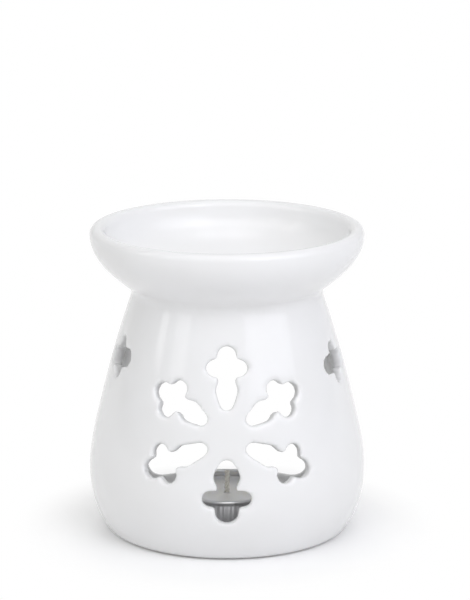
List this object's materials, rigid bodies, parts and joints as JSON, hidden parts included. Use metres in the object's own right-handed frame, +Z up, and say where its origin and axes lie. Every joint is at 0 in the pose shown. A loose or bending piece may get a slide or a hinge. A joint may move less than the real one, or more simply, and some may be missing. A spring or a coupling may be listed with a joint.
{
  "type": "essential oil burner",
  "caption": "Pear-shaped glazed ceramic oil burner with a fixed dish on top, a snowflake pierced in its front and a tealight that goes in through an arch at the back.",
  "frame": {"origin": "middle of the foot, on the surface that the burner stands on", "axes": "+Z up along the axis of the pot, -Y to the front with the snowflake, +Y to the back with the arch"},
  "size_m": [0.094, 0.093, 0.1049],
  "materials": {
    "white_glaze": "glossy white glaze",
    "pressed_aluminium": "bright pressed foil",
    "white_wax": "satin paraffin wax",
    "cotton_wick": "waxed cotton braid",
    "tinned_steel": "dull tinned sheet"
  },
  "bodies": {
    "burner": {"burner_body": "white_glaze", "oil_dish": "white_glaze"},
    "tealight": {"tealight_cup": "pressed_aluminium", "tealight_wax": "white_wax", "tealight_wick": "cotton_wick", "wick_sustainer": "tinned_steel"}
  },
  "joints": [
    {"name": "tealight_out", "type": "slide", "parent": "burner", "child": "tealight", "axis": [0, 0.9956, 0.0932], "range_m": [0, 0.0965]}
  ]
}
